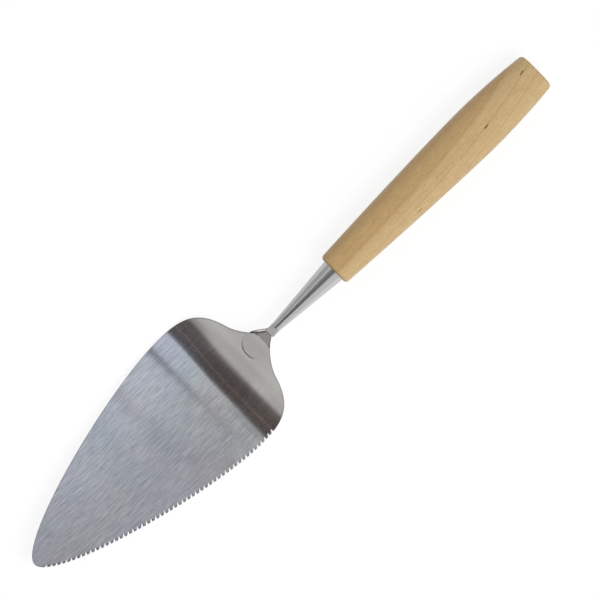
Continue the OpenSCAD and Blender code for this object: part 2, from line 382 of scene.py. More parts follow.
def inside(border, points):
    """The points inside a closed border."""
    a = np.array(border, float)
    b = np.roll(a, -1, axis=0)
    rise = np.where(b[:, 1] == a[:, 1], 1, b[:, 1] - a[:, 1])
    keep = []
    for x, y in points:
        hit = (a[:, 1] > y) != (b[:, 1] > y)
        cross = a[:, 0] + (y - a[:, 1]) / rise * (b[:, 0] - a[:, 0])
        if (hit & (x < cross)).sum() % 2:
            keep.append((x, y))
    return keep


# ---------------- the blade

# Rounding of the broken edge, reach behind it of the strip of painted edge shade, and length,
# drop and greatest share of the depth of the teeth's bevel
EDGE_R, EDGE_SHADE_REACH, BEVEL, BEVEL_Z, BEVEL_SHARE = 0.06, 0.55, 0.75, 0.16, 0.72
# Share of the depth at the first tooth, and the count from which teeth have all of it
FIRST_DEPTH, FULL_FROM = 0.65, 10
# Step of the plain edge's points, and how far to each side its direction is taken
EDGE_STEP, LOOK = 0.5, 0.05
# Loose points in a tooth: shares of its width, and distance from its bevel
CORE_SHARES, CORE_IN = (0.1, 0.5, 0.9), 0.32
# Shares of painted edge shade, on rougher steel: all along, and gained towards the rear on each
# side
EDGE_SHADE, REAR_PLAIN, REAR_TOOTHED, REAR_ZONE = 0.35, 0.5, 0.2, (98, 112)
MIRROR = np.array([1.0, -1.0])
CORNER_IN = 0.8


def left_of(d):
    return np.array([-d[1], d[0]])


def unit(d):
    return d / np.linalg.norm(d)


def tooth_shade_and_glint(x):
    """Shares of painted shade on a tooth's two tips and two flanks; painted glint by the point and
    heel.
    """
    bright = float(1 - smooth(12, 45, x) + smooth(97, 101, x))
    deep = float(0.3 + 0.2 * (1 - smooth(20, 60, x)) + 0.1 * smooth(85, 97, x))
    calm = 0.45 * deep * (1 - 0.8 * bright)
    return 0.1 - 1.4 * bright, 0.4 - 1.6 * bright, calm, deep


def blade_border():
    """Entries round the blade, from its point along the teeth, across the tail and back.

    Each has its plan point, top border point, inner end of the painted edge shade, drop and
    rounding of the edge, and shares of painted shade and glint at the first two. Loose points in
    the teeth come too.
    """
    entries, cores = [], []

    def plain(p, inward):
        # Painted edge shade along the outline, on rougher steel, darker towards the rear
        gain = float(smooth(*REAR_ZONE, p[0]) * (REAR_PLAIN if p[1] > 0 else REAR_TOOTHED))
        dark = EDGE_SHADE + gain if p[0] < TAIL_X else 0.0
        entries.append((p, p + EDGE_R * inward, p + EDGE_SHADE_REACH * inward, EDGE_R, EDGE_R, dark, dark))

    def cut(outer, upper, fall, at_tip, at_bevel):
        entries.append((outer, upper, upper, fall, 0.0, at_tip, at_bevel))

    count = int(TOOTHED // PITCH)
    marks = [(s, None) for s in np.arange(0, PLAIN - 0.2, EDGE_STEP)]
    marks += [(PLAIN + i * PITCH, i) for i in range(count)]
    last = PLAIN + (count - 1) * PITCH + NOTCH_W
    marks += [(s, None) for s in np.arange(last + 0.6, RUN[-1] - 0.3, EDGE_STEP)]
    for s, tooth in marks:
        a = edge_at(s) * MIRROR
        if tooth is None:
            n = left_of(unit((edge_at(s + LOOK) - edge_at(s - LOOK)) * MIRROR))
            plain(a, n if s > 0 else np.array([1.0, 0.0]))
            continue
        m = edge_at(s + NOTCH_W) * MIRROR
        d = unit(m - a)
        n = left_of(d)
        depth = DEPTH * min(1, FIRST_DEPTH + (1 - FIRST_DEPTH) * tooth / FULL_FROM)
        root = m + depth * n
        bevel = min(BEVEL, BEVEL_SHARE * depth)
        a1 = a + (root - a) * bevel / depth
        m1 = m + (root - m) * bevel / depth
        cores += [m1 + share * (PITCH - NOTCH_W) * d + CORE_IN * n for share in CORE_SHARES]
        # Painted shade on the teeth's bevels, and painted glint on the tips by the point and heel
        lead, trail, calm, deep = tooth_shade_and_glint(m[0])
        cut(a, a1, BEVEL_Z, lead, calm)
        cut(a1, a1, 0.0, calm, calm)
        cut(root, root, 0.0, 0.0, 0.0)
        cut(m1, m1, 0.0, deep, deep)
        cut(m, m1, BEVEL_Z, trail, deep)
    half = TAIL_W / 2
    plain(np.array([TAIL_X, -half]), np.array([-1.0, 1.0]) * CORNER_IN)
    for y in np.linspace(-half + 0.4, half - 0.4, 4):
        plain(np.array([TAIL_X, y]), np.array([-1.0, 0.0]))
    plain(np.array([TAIL_X, half]), np.array([-1.0, -1.0]) * CORNER_IN)
    for s in np.arange(RUN[-1] - EDGE_STEP, 0.3, -EDGE_STEP):
        plain(edge_at(s), left_of(unit(edge_at(s - LOOK) - edge_at(s + LOOK))))
    return entries, cores


# Columns of loose points across the blade, close together where it bends: from, to and step
COLUMNS = ((1.0, 74, 1.2), (74, 116, 0.45), (116, 125.9, 0.9))
CREASE_COLUMNS = [CRISP_X + s for s in (-0.7, -0.4, -0.2, -0.1, -0.05, 0, 0.05, 0.1, 0.25)]
TAIL_COLUMNS = (127.5, TAIL_X, 0.5)
WIDE_STEP, CLOSE_STEP, CLOSE_FROM = 1.5, 0.8, 112


def grid_points():
    """Loose points for the blade's faces."""
    columns = [np.arange(*c) for c in COLUMNS] + [CREASE_COLUMNS, np.arange(*TAIL_COLUMNS)]
    points = []
    for x in np.concatenate(columns):
        half = float(half_width(CRISP_X if x in CREASE_COLUMNS else x))
        step = WIDE_STEP if x < CLOSE_FROM else CLOSE_STEP
        n = max(1, int(round(2 * half / step)))
        points += [(x, -half + 2 * half * k / n) for k in range(1, n)]
    return points


# Points on the imprint's rim: first and last turn, reach and step across it, step along it, and
# the strip that other points leave to it
RIM_TURN, RIM_REACH, RIM_STEP, RIM_ALONG, RIM_STRIP = (0.2, 1.35), 0.6, 0.12, 0.32, 0.7


def rim_points():
    """Points along the imprint's outline, at several distances from it."""
    found = []
    start, end = (turn * math.pi for turn in RIM_TURN)
    for a in np.arange(start, end, RIM_ALONG / TAB_R):
        c, s = math.cos(a), math.sin(a)
        reach = TAB_R / (abs(c) ** MARK_P + abs(s) ** MARK_P) ** (1 / MARK_P)
        for d in np.arange(-RIM_REACH, RIM_REACH + 0.01, RIM_STEP):
            found.append((TAB_X + (reach - d) * c, MARK_Y + (reach - d) * s))
    return found


# Least distance of loose points from the border: above, below and in the teeth
TOP_GAP, UNDER_GAP, CORE_GAP = 0.25, 0.3, 0.15


def plan_places(face):
    return [p[:2] for p in face]


def build_blade():
    entries, cores = blade_border()
    plan, top, edge_shade_end, drop, lower = (np.array([e[k] for e in entries]) for k in range(5))
    base = grid_points()
    base_top = [p for p in base if abs(float(mark_inside(*p))) > RIM_STRIP]
    inner = clear_of(edge_shade_end, inside(edge_shade_end, base_top + rim_points()), TOP_GAP)
    inner += clear_of(edge_shade_end, cores, CORE_GAP)
    b = Builder()
    b.faces_of(*fill(edge_shade_end, inner, blade_top))

    width = np.maximum(np.linalg.norm(top - plan, axis=1), 1e-9)
    bottom = plan + (top - plan) * (lower / width)[:, None]
    under_inner = clear_of(bottom, inside(bottom, base), UNDER_GAP)
    b.faces_of(*fill(bottom, under_inner, blade_under), flip=True)

    def ring(share):
        """The broken upper edge, from the top border (0) to the plan outline (1)."""
        return lifted(top + (plan - top) * share, blade_top) - [0, 0, share] * drop[:, None]

    rings = [lifted(edge_shade_end, blade_top), ring(0.0), ring(1.0)]
    rings += [lifted(plan, blade_under) + [0, 0, 1] * lower[:, None], lifted(bottom, blade_under)]
    for upper, under in zip(rings, rings[1:]):
        b.band(upper, under)
    # Shares of painted shade and glint on the edge's outer points
    ground_and_shade = {}
    for entry, upper, outer in zip(entries, rings[1], rings[2]):
        ground_and_shade[b.point(upper)] = entry[6]
        ground_and_shade[b.point(outer)] = entry[5]
    return add_mesh("blade_sheet", b.points, b.faces, 32, plan_places, ground_and_shade)


blade = build_blade()

# ---------------- the shank

# The tab's edge turns up beside the blade's tail: its start, gap to the blade, first step and
# that step's width, and slope behind it
FLANK_FROM, FLANK_GAP, FLANK_STEP, FLANK_STEP_W, FLANK_SLOPE = (120.5, 123.8), 0.1, 0.55, 0.3, 0.42
UNDER_SHARE, TAB_CLEAR = 0.8, 0.008


def tab_flank(x, y):
    """How far the tab's edge turns up, on the plain side."""
    out = np.maximum(y - (half_width(np.minimum(x, TAIL_X)) + FLANK_GAP), 0)
    turned = FLANK_STEP * smooth(0, FLANK_STEP_W, out) + FLANK_SLOPE * out
    return smooth(*FLANK_FROM, x) * turned


def tab_top(x, y):
    return sheet_z(x, BLADE_T) + COIN - TAB_CLEAR + tab_flank(x, y)


def tab_under(x, y):
    return sheet_z(x, BLADE_T + SHANK_T) + COIN + tab_flank(x, y) * UNDER_SHARE


def tab_border():
    """The weld tab's outline in plan, CCW, closed inside the neck."""
    kept = []
    for a in np.linspace(TANGENT_A, 2 * math.pi - TANGENT_A, 90):
        x, y = TAB_X + TAB_R * math.cos(a), TAB_R * math.sin(a)
        if y > -TAIL_W / 2 or float(tab_inside(x * 0.999 + TAB_X * 0.001, y * 0.999)) > -0.02:
            kept.append((x, y))
    cut = [kept[-1]]
    k = (TAIL_X - kept[-1][0]) / math.cos(SHEAR)
    for s in np.arange(k - 0.5, 0.4, -0.6):
        cut.append((TAIL_X - s * math.cos(SHEAR), -TAIL_W / 2 - s * math.sin(SHEAR)))
    cut.append((TAIL_X, -TAIL_W / 2 - 0.02))
    flank = [tuple(TANGENT + (CORNER - TANGENT) * s) for s in np.linspace(0.95, 0.05, 12)]
    end = [(CORNER[0], -NECK_D / 2), (CORNER[0], 0.0), tuple(CORNER)]
    return kept[:-1] + cut + end + flank


def tube_r(x):
    xs = [NECK_X, CONE_X, HANDLE_X, SOCKET_X, TAPER_X, TANG_X]
    ds = [NECK_D, NECK_D, SOCKET_D, SOCKET_D, TANG_D, TANG_D]
    return float(np.interp(x, xs, ds)) / 2


def seam_half(x):
    return float(np.interp(x, [HOLLOW_X, HANDLE_X], [SEAM_FRONT / 2, SEAM_REAR / 2]))


# The seam's lips: rounding, half of the slit between them, rise and its angle, and the groove's
# least depth, its gain with the seam's width, and its greatest depth
LIP_R, SLIT, LIP_RISE, LIP_ANGLE = 0.06, 0.05, 0.1, 0.25
GROOVE, GROOVE_GAIN, GROOVE_MOST = 0.08, 0.32, 0.3
ARC, ARC_POWER, LIP_STEPS = 84, 1.35, 12


def tube_loop(x):
    """One section of the rolled sheet: round it, down the turned-in lip, and back inside."""
    r, g = tube_r(x), seam_half(x)
    inner = r - SHANK_T
    mouth = g + LIP_R
    depth = min(GROOVE_MOST, GROOVE + GROOVE_GAIN * g)
    depth *= float(smooth(HOLLOW_X - 0.4, HOLLOW_X + 1.2, x))
    a_out, a_in = math.asin(mouth / r), math.asin(SLIT / inner)
    rise = LIP_RISE * float(smooth(HOLLOW_X, CONE_X + 4, x))
    rise *= float(smooth(HANDLE_X + 1, HANDLE_X - 0.5, x))
    loop = []
    for i in range(ARC + 1):
        u = 2 * i / ARC - 1
        a = math.pi + (math.pi - a_out) * math.copysign(1 - (1 - abs(u)) ** ARC_POWER, u)
        away = min(a, 2 * math.pi - a) - a_out
        out = r + rise * math.exp(-((away / LIP_ANGLE) ** 2))
        loop.append((x, out * math.sin(a), AXIS_Z + out * math.cos(a)))
    top = loop[0][2]
    groove = []
    for i in range(1, LIP_STEPS + 1):
        v = mouth + (SLIT - mouth) * i / LIP_STEPS
        groove.append((v, top - depth * float(smooth(0, 0.9, 1 - v / mouth))))
    loop += [(x, -v, z) for v, z in groove]
    for i in range(ARC + 1):
        a = 2 * math.pi - a_in - (2 * math.pi - 2 * a_in) * i / ARC
        loop.append((x, inner * math.sin(a), AXIS_Z + inner * math.cos(a)))
    return loop + [(x, v, z) for v, z in reversed(groove)]


NOSE_STEPS, NOSE_SOFT = 96, 0.22


def nose_loop(x):
    """A section of the closed ramp: the neck's circle, cut level at the ramp's height."""
    r = NECK_D / 2
    low, high = CREASE_Z + CREASE_TOP_R + COIN, AXIS_Z + r
    top = low + (high - low) * (x - NECK_X) / NOSE_LEN
    loop = []
    for i in range(NOSE_STEPS):
        a = 2 * math.pi * i / NOSE_STEPS
        over = r * math.cos(a) + AXIS_Z - top
        z = top - NOSE_SOFT * math.log1p(math.exp(-over / NOSE_SOFT))
        loop.append((x, r * math.sin(a), max(z, AXIS_Z - r)))
    return loop


def sweep(b, loops, close_start=False, close_end=False):
    for p, q in zip(loops, loops[1:]):
        b.band(q, p)
    if close_start:
        b.face(list(reversed(loops[0])))
    if close_end:
        b.face(loops[-1])


def shank_brush(face):
    """The brushing runs along the shank, and its places across are taken round the tube."""
    if max(p[0] for p in face) < CORNER[0]:
        return plan_places(face)
    turns = [math.atan2(p[1], p[2] - AXIS_Z) for p in face]
    if max(turns) - min(turns) > math.pi:
        turns = [a + 2 * math.pi if a < 0 else a for a in turns]
    return [(p[0], a * tube_r(p[0])) for p, a in zip(face, turns)]


def tube_shade(p):
    """Share of painted shade, on rougher steel, at a point of the tube: the seam's groove, and the
    flanks.
    """
    reach = abs(p[1]) / (seam_half(p[0]) + LIP_R)
    if reach < 1.001 and p[2] > AXIS_Z + tube_r(p[0]) - SHANK_T / 2:
        return float(1 - 0.6 * smooth(0.7, 1, reach))
    if reach <= 1:
        return 0.0
    lean = math.degrees(math.atan2(p[1], p[2] - AXIS_Z))
    return float(0.4 * smooth(38, 60, lean) + 0.2 * smooth(50, 70, -lean))


def build_shank():
    b = Builder()
    border = tab_border()
    xs, ys = np.arange(TAB_X - TAB_R, CORNER[0], 0.45), np.arange(-TAB_R, TAB_R + 0.1, 0.4)
    inner = clear_of(border, inside(border, [(x, y) for x in xs for y in ys]), 0.22)
    b.faces_of(*fill(border, inner, tab_top))
    b.faces_of(*fill(border, inner, tab_under), flip=True)
    xy = np.array(border)
    b.band(lifted(xy, tab_top), lifted(xy, tab_under))

    sweep(b, [nose_loop(x) for x in np.linspace(NECK_X, HOLLOW_X, 12)], True, True)

    xs = np.concatenate(
        [
            np.linspace(HOLLOW_X, CONE_X - 0.4, 4),
            np.linspace(CONE_X, HANDLE_X, 40),
            [HANDLE_X + 0.5, SOCKET_X - 0.3, SOCKET_X, TAPER_X, TAPER_X + 0.3],
            np.linspace(TAPER_X + 6, TANG_X, 6),
        ]
    )
    tube = [tube_loop(float(x)) for x in xs]
    # Shares of painted shade in the seam's groove and on the tube's flanks
    ground_and_shade = {b.point(p): tube_shade(p) for loop in tube for p in loop}
    sweep(b, tube)
    n = len(tube[0])
    for loop, flip in ((tube[0], True), (tube[-1], False)):
        for i in range(n // 2):
            quad = [loop[i], loop[(i + 1) % n], loop[n - 2 - i], loop[n - 1 - i]]
            b.face(list(reversed(quad)) if flip else quad)
    return add_mesh("shank_sheet", b.points, b.faces, 38, shank_brush, ground_and_shade)


shank = build_shank()

# ---------------- the handle

# Width at the front, share of the length at the belly, powers of the rise to it, of the fall
# behind it and of the section, and the chamfer of the bore's mouth
FRONT_W = SOCKET_D + 2 * (GLUE_GAP + WALL)
BELLY, FORE, AFT, POWER, MOUTH = 0.7, 1.4, 2.0, 2.7, 0.12
ROUND, END_STEPS, BODY_STEPS, BUTT_SHARES = 120, 8, 90, (0.9, 0.7, 0.45, 0.2)


def eased(u, front, belly, butt):
    """Width or thickness at a share of the handle's length."""
    if u < BELLY:
        return belly - (belly - front) * (1 - u / BELLY) ** FORE
    return belly - (belly - butt) * ((u - BELLY) / (1 - BELLY)) ** AFT


def handle_loop(u, inset):
    w = eased(u, FRONT_W, HANDLE_W, BUTT_W) / 2 - inset
    t = eased(u, FRONT_W, HANDLE_T, BUTT_T) / 2 - inset
    loop = []
    for i in range(ROUND):
        a = 2 * math.pi * i / ROUND
        c, s = math.cos(a), math.sin(a)
        y = w * math.copysign(abs(s) ** (2 / POWER), s)
        z = t * math.copysign(abs(c) ** (2 / POWER), c)
        loop.append((HANDLE_X + u * HANDLE_LEN, y, AXIS_Z + z))
    return loop


def circle(x, r):
    turns = [2 * math.pi * i / ROUND for i in range(ROUND)]
    return [(x, r * math.sin(a), AXIS_Z + r * math.cos(a)) for a in turns]


def build_handle():
    b = Builder()
    turns = [math.pi / 2 * i / END_STEPS for i in range(END_STEPS + 1)]
    stations = [(END_R * (1 - math.cos(a)), END_R * (1 - math.sin(a))) for a in turns]
    body = [(x, 0.0) for x in np.linspace(END_R, HANDLE_LEN - END_R, BODY_STEPS)[1:-1]]
    back = [(HANDLE_LEN - s, inset) for s, inset in reversed(stations)]
    loops = [handle_loop(s / HANDLE_LEN, inset) for s, inset in stations + body + back]
    sweep(b, loops)

    bore, narrow = SOCKET_D / 2 + GLUE_GAP, TANG_D / 2 + GLUE_GAP
    step_x = TAPER_X + GLUE_GAP
    lip = circle(HANDLE_X, bore + MOUTH)
    middle = [tuple((np.array(p) + np.array(q)) / 2) for p, q in zip(loops[0], lip)]
    inward = [loops[0], middle, lip, circle(HANDLE_X + MOUTH, bore), circle(step_x, bore)]
    inward += [circle(step_x, narrow), circle(TAPER_X + TANG_LEN + BORE_SPARE, narrow)]
    sweep(b, [list(reversed(loop)) for loop in inward])
    b.face(inward[-1])

    centre = np.array([HANDLE_X + HANDLE_LEN, 0, AXIS_Z])
    rings = [loops[-1]]
    for share in BUTT_SHARES:
        rings.append([tuple(centre + (np.array(p) - centre) * share) for p in loops[-1]])
    sweep(b, rings, close_end=True)
    return add_mesh("handle_wood", b.points, b.faces, 40)


handle = build_handle()

# ---------------- materials


class Nodes:
    """A material, with short calls that add shader nodes and link them."""

    def __init__(self, name):
        self.material = bpy.data.materials.new(name)
        self.material.use_nodes = True
        self.tree = self.material.node_tree
        self.tree.nodes.clear()
        self.out = self.add("OutputMaterial")

    def add(self, kind, **settings):
        node = self.tree.nodes.new("ShaderNode" + kind)
        for key, value in settings.items():
            setattr(node, key, value)
        return node

    def put(self, node, inputs):
        """Sets a node's inputs, by name or number, to values or other nodes' outputs."""
        for socket, value in inputs.items():
            target = node.inputs[socket]
            if isinstance(value, bpy.types.NodeSocket):
                self.tree.links.new(value, target)
            else:
                target.default_value = value
        return node

    def math(self, operation, *values):
        node = self.add("Math", operation=operation)
        return self.put(node, dict(enumerate(values))).outputs[0]

    def times(self, first, *rest):
        for value in rest:
            first = self.math("MULTIPLY", first, value)
        return first

    def plus(self, first, *rest):
        for value in rest:
            first = self.math("ADD", first, value)
        return first

    def less(self, a, b):
        return self.math("SUBTRACT", a, b)

    def gap(self, a, b):
        return self.math("ABSOLUTE", self.less(a, b))

    def span(self, value, lo, hi, to_lo=0.0, to_hi=1.0, kind="SMOOTHSTEP"):
        """Takes lo..hi to to_lo..to_hi, and holds the ends."""
        node = self.add("MapRange", interpolation_type=kind)
        ends = {"From Min": lo, "From Max": hi, "To Min": to_lo, "To Max": to_hi}
        return self.put(node, {"Value": value, **ends}).outputs["Result"]

    def fade(self, value, start, end):
        """0 at start and 1 at end, whichever of them is larger."""
        if start < end:
            return self.span(value, start, end)
        return self.span(value, end, start, 1.0, 0.0)

    def window(self, value, up, up_end, down=None, down_end=None):
        """Fades in between two places, and out again between two more, if given."""
        rise = self.fade(value, up, up_end)
        return rise if down is None else self.times(rise, self.fade(value, down_end, down))

    def object_place(self):
        """The place in metres in the row frame, and its X, Y and Z."""
        place = self.add("TexCoord").outputs["Object"]
        parts = self.put(self.add("SeparateXYZ"), {0: place})
        return place, *parts.outputs

    def vector(self, x, y, z):
        return self.put(self.add("CombineXYZ"), {0: x, 1: y, 2: z}).outputs[0]

    def noise(self, vector, scale, detail=2.0, rough=0.5):
        inputs = {"Vector": vector, "Scale": scale, "Detail": detail, "Roughness": rough}
        return self.put(self.add("TexNoise"), inputs).outputs["Fac"]

    def mix(self, factor, a, b, kind="MIX"):
        node = self.add("Mix", data_type="RGBA", blend_type=kind)
        return self.put(node, {0: factor, 6: a, 7: b}).outputs[2]

    def tint(self, colour, share, level):
        """Colour times a level, or times one for each channel, by a share."""
        r, g, b = level if isinstance(level, tuple) else (level, level, level)
        return self.mix(share, colour, self.mix(1.0, colour, (r, g, b, 1), "MULTIPLY"))

    def bump(self, height, strength, distance):
        inputs = {"Height": height, "Strength": strength, "Distance": distance}
        return self.put(self.add("Bump"), inputs).outputs["Normal"]

    def shader(self, kind, inputs):
        return self.put(self.add(kind), inputs).outputs[0]

    def finish(self, shader):
        self.tree.links.new(shader, self.out.inputs["Surface"])
        return self.material


def row_x(x):
    """A place from the blade's point, in mm, as X in metres in the row frame."""
    return (x - TOTAL / 2) / 1000


# Painted highlights, painted shade and a warmer tone on the blade: where each fades in and out, in
# mm from the point, where it fades in across, in mm towards the plain edge, if on both sides, and
# its level
PAINTED_LIGHT_PATCHES = (
    # painted highlights on the shoulder
    ((115.5, 117.5, 118.0, 120.5), (-18, -8), False, 1.07),
    ((123.5, 126.0), (-18, -8), False, 1.112),
    # a warmer tone in the bend
    ((71.7, 87.7, 107.0, 111.0), (18, 2), False, (1.01, 1.0, 0.955)),
    # painted shade in and around the bend
    ((96.6, 98.0, 99.5, 101.5), (-6, -14), False, 0.84),
    ((101.0, 103.0, 108.0, 110.0), (18, 8), True, 0.86),
    ((109.0, 110.5, 113.0, 115.5), (12, 22), True, 0.83),
    # a painted highlight on the flat's plain side
    ((60.7, 66.7, 71.7, 77.7), (5, 14), False, 1.13),
    # painted shade on the flat's toothed side
    ((64.7, 77.7, 82.7, 90.7), (-9, -19), False, 0.88),
    # painted shade behind the bend
    ((108.0, 112.0), (-18, -5), False, 0.87),
)
# Colours of the painted shade on the teeth and edges, and of the painted glint on the teeth's tips
PAINTED_SHADE_DARK, PAINTED_GLINT = (0.2, 0.195, 0.19, 1), (0.9, 0.9, 0.89, 1)
TAIL_LEVEL, TAIL_WORN, WORN_ROUGH = (0.96, 0.92, 0.875), 1.9, 0.15
# The imprint's rim of painted crease shade: half-width in metres, share, level, and the level
# inside it
RIM_W, RIM_SHARE, RIM_SHADE_LEVEL, MARK_LEVEL = 0.0004, 0.24, 0.42, 0.95
# The scuff along the bend, in metres: place on the toothed side, shift on the plain side and
# half-width, then added roughness, share of its colour and its level
SCUFF_X, SCUFF_SHIFT, SCUFF_ACROSS, SCUFF_W = -0.0354, 0.0016, (-0.004, 0.026), 0.001
SCUFF_ROUGH, SCUFF_SHARE, SCUFF_LEVEL = 0.036, 27.0, (1.02, 0.925, 0.87)


def ground_and_shade_share(m):
    return m.add("Attribute", attribute_name="ground_and_shade").outputs["Fac"]


def blade_marks(m, x, y, colour, roughness):
    """Painted light patches, teeth and edges with painted shade and glint, the dull tail, the weld
    tab's imprint and a scuff.
    """
    share = ground_and_shade_share(m)
    off = m.math("ABSOLUTE", y)
    # Painted highlights, painted shade and a warmer tone, patch by patch
    for along, across, both, level in PAINTED_LIGHT_PATCHES:
        start, end = (p / 1000 for p in across)
        side = m.fade(off if both else y, start, end)
        colour = m.tint(colour, m.times(m.window(x, *map(row_x, along)), side), level)
    # Painted shade on the teeth and edges, and painted glint on the teeth's tips by the point and
    # heel
    colour = m.mix(share, colour, PAINTED_SHADE_DARK)
    colour = m.mix(m.times(share, -1.0), colour, PAINTED_GLINT)
    dull = m.span(x, row_x(CRISP_X - 0.05), row_x(CRISP_X + 0.05))
    worn = m.math("MAXIMUM", share, m.times(dull, TAIL_WORN))
    roughness = m.plus(roughness, m.times(worn, WORN_ROUGH))

    # Painted crease shade along the imprint's rim
    centre = ((x, row_x(TAB_X)), (y, MARK_Y / 1000))
    dx, dy = (m.math("POWER", m.gap(v, place), MARK_P) for v, place in centre)
    far = m.math("POWER", m.plus(dx, dy), 1 / MARK_P)
    rim = m.span(m.gap(far, TAB_R / 1000), 0.0, RIM_W, RIM_SHARE, 0.0)
    rim = m.times(rim, m.span(y, -0.0034, -0.0018))
    near, end = (row_x(TAB_X + s) for s in MARK_BEHIND)
    rim = m.times(rim, m.span(x, near, end, 1.0, 0.0))
    colour = m.tint(colour, rim, RIM_SHADE_LEVEL)
    colour = m.tint(colour, m.fade(far, TAB_R / 1000, TAB_R / 1000 - RIM_W), MARK_LEVEL)
    colour = m.tint(colour, dull, TAIL_LEVEL)

    bend = m.less(x, m.span(y, *SCUFF_ACROSS, 0.0, SCUFF_SHIFT))
    scuff = m.span(m.gap(bend, SCUFF_X), 0.0, SCUFF_W, SCUFF_ROUGH, 0.0)
    return m.tint(colour, m.times(scuff, SCUFF_SHARE), SCUFF_LEVEL), m.plus(roughness, scuff)


# Painted highlight on the tab's turned-up edge, and painted shade along its rim
TAB_PAINTED_HIGHLIGHT, TAB_RIM_SHADE, RIM_PLACE = (0.95, 0.95, 0.945, 1), (0.34, 0.34, 0.34, 1), (0.0006, 0.0003)
# Colours of the painted shade in the seam's groove and on the tube's flanks, front and rear, and
# their added roughness
SEAM_SHADE_FRONT, SEAM_SHADE_REAR, SEAM_ROUGH = (0.27, 0.262, 0.255, 1), (0.35, 0.345, 0.34, 1), 0.2
# Painted shade on the neck
NECK_SHADE_LEVEL = 0.86


def shank_marks(m, x, y, colour, roughness):
    """Painted highlight on the tab's turned-up edge, and painted shade on its rim, the neck, the
    seam and the tube's flanks.
    """
    share = ground_and_shade_share(m)
    reach = m.plus(m.times(x, TANGENT_N[0]), m.times(y, TANGENT_N[1]))
    edge = (TAB_R + (TAB_X - TOTAL / 2) * TANGENT_N[0]) / 1000
    tab = m.fade(x, row_x(NECK_X + 0.2), row_x(NECK_X - 0.3))
    rim = m.times(tab, m.span(reach, *(edge - inward for inward in RIM_PLACE)))
    # Painted highlight over the tab, with painted shade along the rim of its turned-up edge
    colour = m.mix(rim, m.mix(tab, colour, TAB_PAINTED_HIGHLIGHT), TAB_RIM_SHADE)
    # Painted shade on the neck
    neck = m.window(x, *map(row_x, (NECK_X - 0.1, NECK_X + 0.2, HOLLOW_X, HOLLOW_X + 1)))
    colour = m.tint(colour, neck, NECK_SHADE_LEVEL)
    # Painted shade in the seam's groove and on the tube's flanks, on rougher steel
    seam = m.mix(m.span(x, row_x(CONE_X), row_x(HANDLE_X)), SEAM_SHADE_FRONT, SEAM_SHADE_REAR)
    return m.mix(share, colour, seam), m.plus(roughness, m.times(share, SEAM_ROUGH))


# Hairlines: waves per metre along and across the brushing, seed and weight
HAIRLINES = (
    (60.0, 1000.0, 0.0, 0.12),
    (140.0, 2250.0, 5.0, 0.54),
    (260.0, 2900.0, 3.0, 0.14),
    (1500.0, 420.0, 7.0, 0.12),
)
WARP, CLOUD_WEIGHT, STREAK_LEVEL = 0.0003, 0.08, (0.64, 0.64, 0.65)
# Hue patches on the flat: scale, range of the noise, and level
HUES = (
    (42.0, (0.38, 0.6), (0.935, 0.982, 1.0)),
    (66.0, (0.44, 0.62), (1.0, 0.975, 1.004)),
)


def steel(name, marks, base, tint, rough, aniso, streaks):
    """Brushed stainless sheet, which goes from base to tint towards the flat's plain side as a
    painted reflection.
    """
    m = Nodes(name)
    place, x, y, _ = m.object_place()
    brush = m.add("UVMap", uv_map="brush").outputs[0]
    along, across, _ = m.put(m.add("SeparateXYZ"), {0: brush}).outputs
    across = m.plus(across, m.times(m.less(m.noise(place, 110.0), 0.5), WARP))

    def brushed(length, width, seed):
        places = m.vector(m.times(along, length), m.times(across, width), seed)
        return m.noise(places, 1.0, 2.0, 0.6)

    wide, mid, fine, weft = (brushed(*line[:3]) for line in HAIRLINES)
    parts = [m.times(part, line[3]) for part, line in zip((wide, mid, fine, weft), HAIRLINES)]
    pattern = m.plus(*parts, m.times(m.noise(place, 30.0, 3.0, 0.55), CLOUD_WEIGHT))

    # Painted reflection: the colour goes from base to tint towards the flat's plain side
    side = m.times(m.span(y, -0.012, 0.026), m.span(x, -0.04, -0.03, 0.9, 0.1))
    colour = m.mix(side, base, tint)
    flat = m.span(x, row_x(104), row_x(112), 1.0, 0.15)
    for scale, ends, hue in HUES:
        colour = m.tint(colour, m.times(flat, m.span(m.noise(place, scale), *ends)), hue)
    ends = ((98, 103, 0.45), (110, 114, 0.35))
    calm = m.times(*(m.span(x, row_x(a), row_x(b), 1.0, low) for a, b, low in ends))
    streak = m.times(calm, m.span(pattern, 0.41, 0.59, streaks, 0.0, "LINEAR"))
    colour = m.tint(colour, streak, STREAK_LEVEL)
    grit = m.plus(wide, m.times(fine, 0.5))
    roughness = m.span(grit, 0.45, 1.05, rough - 0.01, rough + 0.01)
    colour, roughness = marks(m, x, y, colour, roughness)

    tangent = m.add("Tangent", direction_type="UV_MAP", uv_map="brush").outputs[0]
    height = m.plus(m.times(mid, 0.6), m.times(fine, 0.4))
    inputs = {
        "Base Color": colour,
        "Metallic": 1.0,
        "Roughness": roughness,
        "Anisotropic": aniso,
        "Anisotropic Rotation": 0.25,
        "Tangent": tangent,
        "Normal": m.bump(height, m.times(calm, 0.06), 0.00002),
    }
    return m.finish(m.shader("BsdfPrincipled", inputs))


def lumpy(name, metallic, noise, rough, depth, *colours):
    """Weld metal or glue, with the soft lumps of a melt."""
    m = Nodes(name)
    lumps = m.noise(m.object_place()[0], *noise)
    inputs = {
        "Base Color": m.mix(m.span(lumps, 0.3, 0.7), *colours),
        "Metallic": metallic,
        "Roughness": m.span(lumps, 0.3, 0.7, *rough),
        "Normal": m.bump(lumps, 0.3, depth),
    }
    return m.finish(m.shader("BsdfPrincipled", inputs))


# Beech: paler and browner side of the growth bands' border, flecks, and end grain
PALE, TAN = (0.627, 0.457, 0.231, 1), (0.56, 0.381, 0.176, 1)
FLECK, END_GRAIN = (0.125, 0.055, 0.012, 1), (0.27, 0.145, 0.065, 1)
